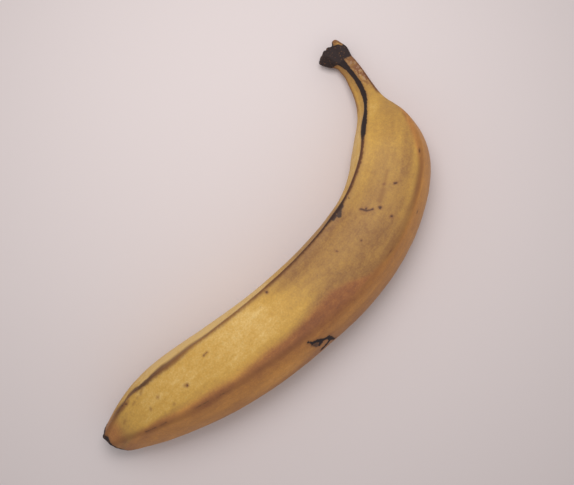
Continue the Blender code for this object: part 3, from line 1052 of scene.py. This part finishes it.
STAIN_STROKES = (  # soft brown stains
    Stroke(44.0, 10.9, 43.2, 10.4, 0.6),
    Stroke(32.1, 7.5, 32.1, 7.5, 0.6),
    Stroke(27.1, 9.4, 27.1, 9.4, 0.6),
    Stroke(14.6, 4.8, 13.6, 4.9, 0.3),
    Stroke(36.0, 13.6, 36.0, 13.6, 0.4),
    Stroke(155.5, 12.4, 150.5, 12.8, 1.0),
    Stroke(164.0, 11.6, 156.0, 12.2, 0.4),
    Stroke(183.0, 16.2, 181.4, 17.2, 0.2),
    Stroke(146.5, 22.0, 146.5, 22.0, 0.2),
    Stroke(142.8, 10.5, 142.0, 9.0, 0.2),
    Stroke(141.0, 7.0, 139.0, 8.0, 0.1),
    Stroke(27.8, 1.0, 26.2, 2.2, 0.3),
    Stroke(24.7, 2.1, 24.3, 2.3, 0.2),
    Stroke(22.6, 2.6, 21.4, 2.9, 0.3),
    Stroke(20.6, 0.6, 16.0, 0.8, 0.6),
    Stroke(23.0, -1.6, 19.0, -2.4, 0.3),
    Stroke(137.0, 26.4, 118.0, 26.6, 0.1),
    Stroke(84.5, 4.6, 84.5, 4.6, 0.0),
)
SMUDGE_STROKES = (  # dark blots beside the first seam
    Stroke(141.5, 0.4, 137.5, 0.8, 0.9),
    Stroke(138.5, 1.0, 136.4, 1.9, 0.9),
    Stroke(136.0, 1.0, 133.4, 0.8, 0.6),
    Stroke(147.5, 0.9, 146.5, 1.6, 0.0),
)
for strokes in (SCAB_STROKES, SPOT_STROKES, STAIN_STROKES, SMUDGE_STROKES):
    print("strokes:", len(strokes))


# %% Lay the marks over the peel
def gap_to_nearest(strokes):
    """The distance in mm from a point of the peel to the edge of the nearest stroke."""
    nearest = None
    for stroke in strokes:
        start = Vector((stroke.across, stroke.along, 0.0))
        way = Vector((stroke.to_across, stroke.to_along, 0.0)) - start
        offset = add(tree, "VectorMath", {0: map_place, 1: start}, operation="SUBTRACT")
        if way.length > 0:
            along_way = {0: offset, 1: way / way.length_squared}
            share = add(tree, "VectorMath", along_way, 1, operation="DOT_PRODUCT")
            share = add(tree, "Clamp", {0: share})
            reached = add(tree, "VectorMath", {0: way, "Scale": share}, operation="SCALE")
            offset = add(tree, "VectorMath", {0: offset, 1: reached}, operation="SUBTRACT")
        length = add(tree, "VectorMath", {0: offset}, 1, operation="LENGTH")
        gap = add(tree, "Math", {0: length, 1: stroke.radius}, operation="SUBTRACT")
        if nearest is None:
            nearest = gap
        else:
            nearest = add(tree, "Math", {0: nearest, 1: gap}, operation="MINIMUM")
    return add(tree, "Math", {0: nearest, 1: wander}, operation="ADD")


STAIN_COLOUR, SPOT_HALO, SPOT_COLOUR, SMUDGE_COLOUR = "#8A5F38", "#855838", "#4E3327", "#3D2B25"
SCAB_HALO, SCAB_COLOUR = "#7E5437", "#302728"
stain_gap = gap_to_nearest(STAIN_STROKES)
spot_gap = gap_to_nearest(SPOT_STROKES)
smudge_gap = gap_to_nearest(SMUDGE_STROKES)
scab_gap = add(tree, "Math", {0: gap_to_nearest(SCAB_STROKES), 1: crumble}, operation="ADD")
colour, _ = lay(colour, stain_gap, STAIN_COLOUR, inside=-0.8, outside=0.9, strength=0.7)
colour, _ = lay(colour, spot_gap, SPOT_HALO, inside=-0.3, outside=1.0, strength=0.7)
colour, _ = lay(colour, spot_gap, SPOT_COLOUR, inside=-0.45, outside=0.3, strength=0.95)
colour, _ = lay(colour, smudge_gap, SMUDGE_COLOUR, inside=-0.3, outside=0.5, strength=0.95)
colour, _ = lay(colour, scab_gap, SCAB_HALO, inside=-0.2, outside=1.4, strength=0.6)
colour, scab = lay(colour, scab_gap, SCAB_COLOUR, inside=-0.1, outside=0.3, strength=1.0)
print("nodes so far:", len(tree.nodes))

# %% [markdown]
# ## The dry ends
#
# Dead tissue dries to a dull, dark cork, with a few brown flecks where fibres show. It covers
# all that lies under it, so it is laid over the peel last. A material of its own would need
# an edge that follows the mesh's faces, and this edge is ragged.

# %% Crown and blossom scar
DRY_COLOUR, DRY_FLECK_COLOUR = "#352B2A", "#7A5438"
DRY_FROM, DRY_TO = -0.3, 0.3  # mm from the ragged edge
FLECK_FROM, FLECK_TO = 0.62, 0.7
dry_fade = {0: ends_gap, 1: DRY_FROM, 2: DRY_TO, 3: 1.0, 4: 0.0}
dry = add(tree, "MapRange", dry_fade, interpolation_type="SMOOTHSTEP")
fleck_fade = {0: pattern["grain"], 1: FLECK_FROM, 2: FLECK_TO}
fleck = add(tree, "MapRange", fleck_fade, interpolation_type="SMOOTHSTEP")
flecked = {0: fleck, 6: linear(DRY_COLOUR), 7: linear(DRY_FLECK_COLOUR)}
dry_colour = add(tree, "Mix", flecked, 2, data_type="RGBA")
colour = add(tree, "Mix", {0: dry, 6: colour, 7: dry_colour}, 2, data_type="RGBA")
print("nodes so far:", len(tree.nodes))

# %% [markdown]
# ## Sheen and fine relief
#
# Wax sheen is what tells ripe peel from matt clay, and dead tissue has lost it. So wherever
# something has died the roughness rises, and the surface sinks a little. Fibres, mottle and
# grain go into the bump, at about a tenth of a millimetre. They could be real relief, but at
# that size the mesh would need millions of faces.

# %% Sheen of the wax, bump and the shader
WAX_ROUGHNESS, DRY_ROUGHNESS = 0.5, 0.8
WAX_IOR, WAX_SPECULAR = 1.44, 0.22
FIBRE_HEIGHT, MOTTLE_HEIGHT, DEAD_HEIGHT = 0.6, 0.8, -0.8  # as shares of the grain's
BUMP_STRENGTH, BUMP_DEPTH = 0.35, 0.15  # a share, and mm
dead = add(tree, "Math", {0: dry, 1: seam_share}, operation="MAXIMUM")
dead = add(tree, "Math", {0: dead, 1: scab}, operation="MAXIMUM")
roughness = add(tree, "MapRange", {0: dead, 3: WAX_ROUGHNESS, 4: DRY_ROUGHNESS})
surface = pattern["grain"]
for raised, share in (
    (pattern["fibre"], FIBRE_HEIGHT),
    (pattern["mottle"], MOTTLE_HEIGHT),
    (dead, DEAD_HEIGHT),
):
    surface = add(tree, "Math", {0: raised, 1: share, 2: surface}, operation="MULTIPLY_ADD")
bump = {"Height": surface, "Strength": BUMP_STRENGTH, "Distance": BUMP_DEPTH * MM}
skin = {
    "Base Color": colour,
    "Roughness": roughness,
    "Normal": add(tree, "Bump", bump),
    "IOR": WAX_IOR,
    "Specular IOR Level": WAX_SPECULAR,
}
add(tree, "OutputMaterial", {"Surface": add(tree, "BsdfPrincipled", skin)})
banana.data.materials.clear()
banana.data.materials.append(peel)
print("nodes in the peel:", len(tree.nodes))

# %% [markdown]
# ## The table
#
# The fruit lies on a plain pale surface, a matt painted board: the paint scatters light evenly
# and has hardly any gloss, so its roughness is 0.9 and its specular level is low. A real board
# has an edge, but here it runs on past the picture, so that only the light shades it.

# %% Table
TABLE_COLOUR = "#DACECD"
TABLE_HALF = 1.5  # m
TABLE_DROP = 0.05  # mm under the fruit, so that no two faces share a place
BOARD_ROUGHNESS, BOARD_SPECULAR = 0.9, 0.2

table_mesh = bpy.data.meshes.new("table")
corners = [(x * TABLE_HALF, y * TABLE_HALF, 0.0) for x, y in ((-1, -1), (1, -1), (1, 1), (-1, 1))]
table_mesh.from_pydata(corners, [], [(0, 1, 2, 3)])
table = bpy.data.objects.new("table", table_mesh)
table.location.z = -TABLE_DROP * MM
bpy.context.scene.collection.objects.link(table)
board = bpy.data.materials.new("matt_painted_board")
board.use_nodes = True
board_inputs = board.node_tree.nodes["Principled BSDF"].inputs
board_inputs["Base Color"].default_value = linear(TABLE_COLOUR)
board_inputs["Roughness"].default_value = BOARD_ROUGHNESS
board_inputs["Specular IOR Level"].default_value = BOARD_SPECULAR
table_mesh.materials.append(board)
print("table:", 2 * TABLE_HALF, "m wide")

# %% [markdown]
# ## The light
#
# A sun, or a lamp far away, would throw one long shadow to one side, but here the shadow is
# short under the crown and wider under the belly. So the lamp is close: it hangs a third of a
# metre over the table beyond the stem, and the floor fades away from it. The rest of the light
# comes evenly from all round.

# %% Light
LIGHT_OVER, LIGHT_HEIGHT = (112.0, 83.0), 330.0  # mm on the table, mm above it
LIGHT_AIM = (42.0, 36.0)  # mm on the table
LIGHT_CONE, LIGHT_BLEND, LIGHT_RADIUS, LIGHT_POWER = 90.0, 1.0, 0.1, 2.8  # degrees, share, m, W
ROOM_COLOUR, ROOM_STRENGTH = "#FFFFFF", 0.55

lamp = bpy.data.lights.new("soft_lamp", "SPOT")
lamp.spot_size = math.radians(LIGHT_CONE)
lamp.spot_blend = LIGHT_BLEND
lamp.shadow_soft_size = LIGHT_RADIUS
lamp.energy = LIGHT_POWER
light = bpy.data.objects.new("soft_lamp", lamp)
light.location = Vector((*LIGHT_OVER, LIGHT_HEIGHT)) * MM
aim = Vector((*LIGHT_AIM, 0.0)) * MM
light.rotation_euler = (light.location - aim).to_track_quat("Z", "Y").to_euler()
bpy.context.scene.collection.objects.link(light)

world = bpy.data.worlds.new("soft_room")
world.use_nodes = True
background = world.node_tree.nodes["Background"].inputs
background["Color"].default_value = linear(ROOM_COLOUR)
background["Strength"].default_value = ROOM_STRENGTH
bpy.context.scene.world = world
bpy.context.scene.view_settings.view_transform = "Standard"
print("lamp:", LIGHT_POWER, "W at", LIGHT_HEIGHT, "mm")

# %% Update the scene
bpy.context.view_layer.update()
